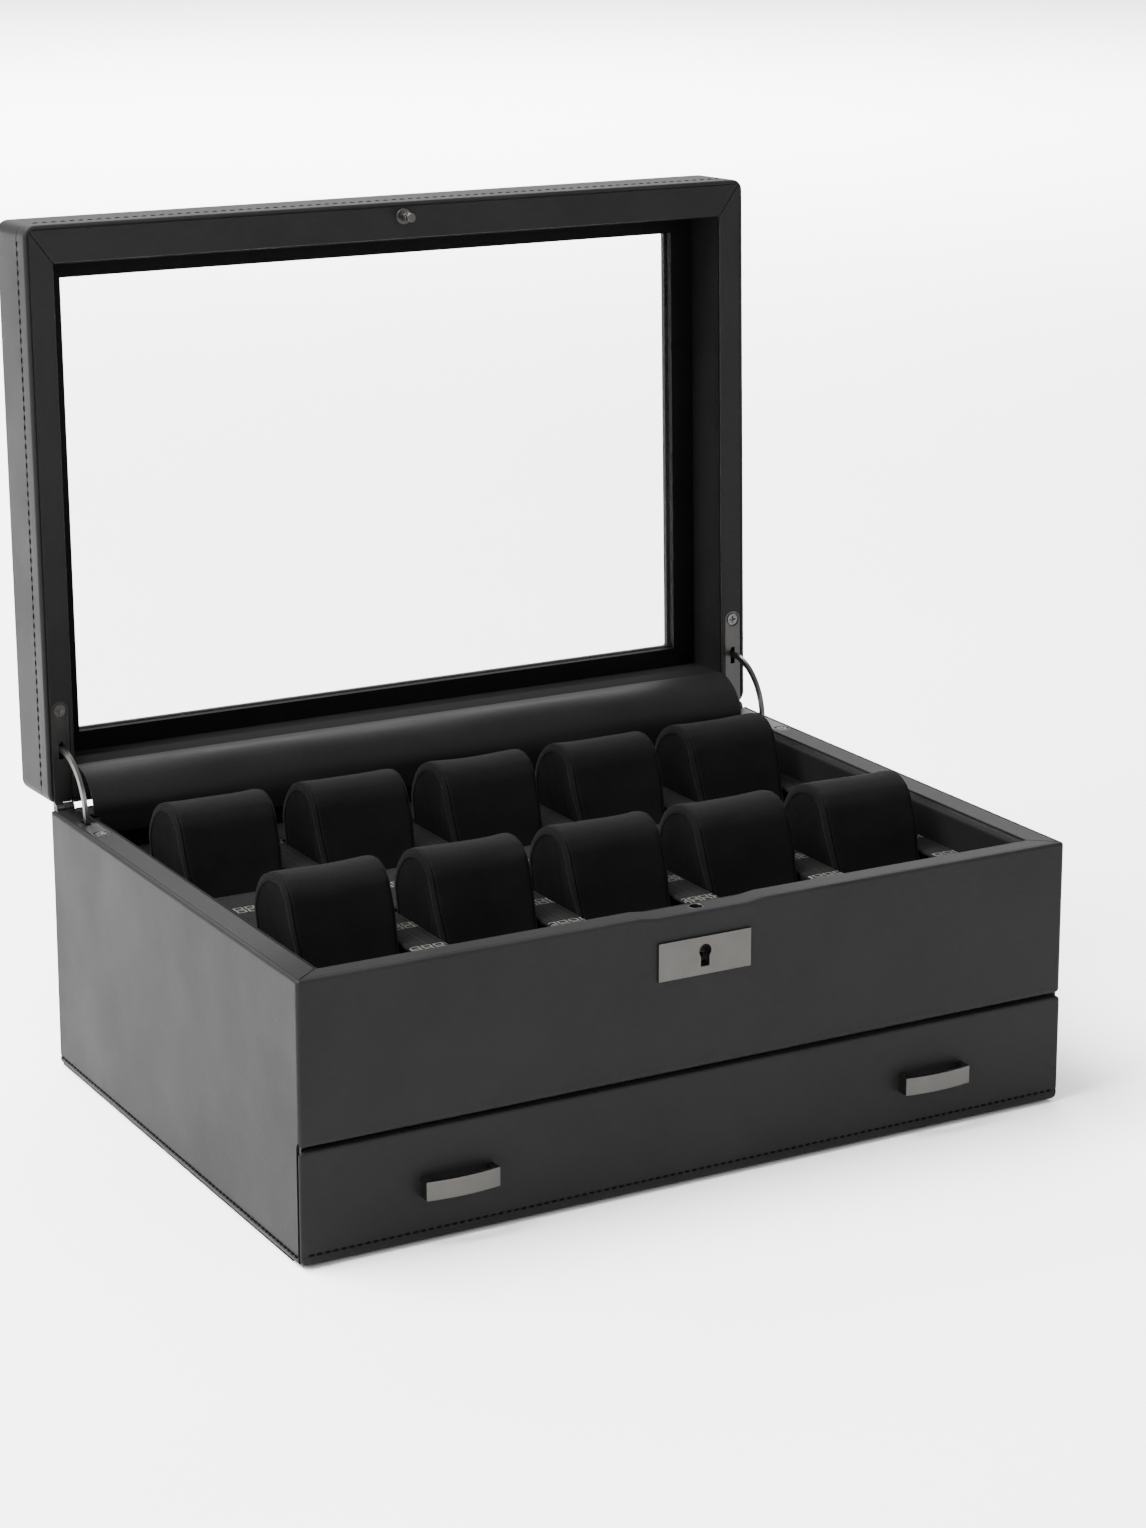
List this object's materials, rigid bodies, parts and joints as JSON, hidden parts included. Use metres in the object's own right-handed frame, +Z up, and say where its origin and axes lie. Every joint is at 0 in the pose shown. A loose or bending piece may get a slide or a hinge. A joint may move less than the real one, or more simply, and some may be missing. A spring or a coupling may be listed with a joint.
{
  "type": "watch box",
  "caption": "Leather-covered watch box with a glazed hinged lid, removable cushions in two rows and a drawer below.",
  "frame": {"origin": "centre of the case's footprint on the surface it stands on, felt side", "axes": "+X to the right, +Y to the back, +Z up; the front with drawer and escutcheon faces -Y"},
  "size_m": [0.345, 0.2926, 0.3581],
  "materials": {
    "felt_black": "matt felt",
    "board": "black stained board",
    "leather_black": "satin fine grain",
    "lining_fabric": "matt",
    "patterned_fabric": "matt, printed",
    "cushion_suede": "short pile suede",
    "gunmetal": "satin gunmetal",
    "steel": "bright",
    "glass_clear": "clear",
    "bead_black": "matt"
  },
  "bodies": {
    "base": {"base_felt": "felt_black", "bottom_board": "board", "left_side_panel": "board", "right_side_panel": "board", "back_panel": "board", "front_fascia_board": "board", "shelf_board": "board", "case_leather_front": "leather_black", "case_leather_sides": "leather_black", "case_leather_back": "leather_black", "base_rim_strips": "leather_black", "case_linings": "lining_fabric", "tray_rails": "board", "tray_dividers": "board", "tray_lining": "patterned_fabric", "hinge_leaf_base_left": "gunmetal", "hinge_leaf_base_right": "gunmetal", "base_hinge_screws": "steel", "hinge_pins": "steel", "latch_bush": "gunmetal", "lock_case": "steel", "escutcheon": "gunmetal", "spine_flap": "lining_fabric"},
    "lid": {"lid_left_rail": "board", "lid_right_rail": "board", "lid_front_rail": "board", "lid_rear_rail": "board", "lid_leather_wrap": "leather_black", "lid_rim_strips": "leather_black", "lid_top_leather": "leather_black", "glass_pane": "glass_clear", "glass_bead": "bead_black", "catch_stud": "gunmetal", "stud_washer": "gunmetal", "hinge_leaf_lid_left": "gunmetal", "hinge_leaf_lid_right": "gunmetal", "lid_hinge_screws": "steel"},
    "stay_left": {"stay_arm_left": "gunmetal"},
    "stay_right": {"stay_arm_right": "gunmetal"},
    "drawer": {"drawer_front_board": "board", "drawer_front_leather": "leather_black", "drawer_sides": "board", "drawer_back": "board", "drawer_bottom": "board", "drawer_lining": "felt_black", "handle_left": "gunmetal", "handle_right": "gunmetal", "handle_screws": "steel"},
    "lock_tumbler": {"lock_tumbler": "steel"},
    "lock_bolt": {"lock_bolt": "steel"},
    "cushion_front_1": {"cushion_front_1": "cushion_suede"},
    "cushion_front_2": {"cushion_front_2": "cushion_suede"},
    "cushion_front_3": {"cushion_front_3": "cushion_suede"},
    "cushion_front_4": {"cushion_front_4": "cushion_suede"},
    "cushion_front_5": {"cushion_front_5": "cushion_suede"},
    "cushion_rear_1": {"cushion_rear_1": "cushion_suede"},
    "cushion_rear_2": {"cushion_rear_2": "cushion_suede"},
    "cushion_rear_3": {"cushion_rear_3": "cushion_suede"},
    "cushion_rear_4": {"cushion_rear_4": "cushion_suede"},
    "cushion_rear_5": {"cushion_rear_5": "cushion_suede"}
  },
  "joints": [
    {"name": "lid_hinge", "type": "hinge", "parent": "base", "child": "lid", "pos_m": [0, 0.1235, 0.11275], "axis": [-1, 0, 0], "range_deg": [-91.6, 0], "deforming": ["spine_flap"]},
    {"name": "stay_left_turn", "type": "hinge", "parent": "base", "child": "stay_left", "pos_m": [-0.166, 0.1235, 0.11275], "axis": [-1, 0, 0], "range_deg": [-45.8, 0]},
    {"name": "stay_right_turn", "type": "hinge", "parent": "base", "child": "stay_right", "pos_m": [0.166, 0.1235, 0.11275], "axis": [-1, 0, 0], "range_deg": [-45.8, 0]},
    {"name": "drawer_slide", "type": "slide", "parent": "base", "child": "drawer", "axis": [0, -1, 0], "range_m": [0, 0.16]},
    {"name": "key_turn", "type": "hinge", "parent": "base", "child": "lock_tumbler", "pos_m": [0, -0.1188, 0.0955], "axis": [0, -1, 0], "range_deg": [0, 90]},
    {"name": "bolt_slide", "type": "slide", "parent": "base", "child": "lock_bolt", "axis": [-1, 0, 0], "range_m": [0, 0.00566]},
    {"name": "cushion_front_1_lift", "type": "slide", "parent": "base", "child": "cushion_front_1", "axis": [0, 0, 1], "range_m": [0, 0.06]},
    {"name": "cushion_front_2_lift", "type": "slide", "parent": "base", "child": "cushion_front_2", "axis": [0, 0, 1], "range_m": [0, 0.06]},
    {"name": "cushion_front_3_lift", "type": "slide", "parent": "base", "child": "cushion_front_3", "axis": [0, 0, 1], "range_m": [0, 0.06]},
    {"name": "cushion_front_4_lift", "type": "slide", "parent": "base", "child": "cushion_front_4", "axis": [0, 0, 1], "range_m": [0, 0.06]},
    {"name": "cushion_front_5_lift", "type": "slide", "parent": "base", "child": "cushion_front_5", "axis": [0, 0, 1], "range_m": [0, 0.06]},
    {"name": "cushion_rear_1_lift", "type": "slide", "parent": "base", "child": "cushion_rear_1", "axis": [0, 0, 1], "range_m": [0, 0.06]},
    {"name": "cushion_rear_2_lift", "type": "slide", "parent": "base", "child": "cushion_rear_2", "axis": [0, 0, 1], "range_m": [0, 0.06]},
    {"name": "cushion_rear_3_lift", "type": "slide", "parent": "base", "child": "cushion_rear_3", "axis": [0, 0, 1], "range_m": [0, 0.06]},
    {"name": "cushion_rear_4_lift", "type": "slide", "parent": "base", "child": "cushion_rear_4", "axis": [0, 0, 1], "range_m": [0, 0.06]},
    {"name": "cushion_rear_5_lift", "type": "slide", "parent": "base", "child": "cushion_rear_5", "axis": [0, 0, 1], "range_m": [0, 0.06]}
  ],
  "couplings": [
    {"joint": "stay_left_turn", "follows": "lid_hinge", "ratio": 0.5},
    {"joint": "stay_right_turn", "follows": "lid_hinge", "ratio": 0.5},
    {"joint": "bolt_slide", "follows": "key_turn", "m_per_rad": 0.0036033}
  ]
}
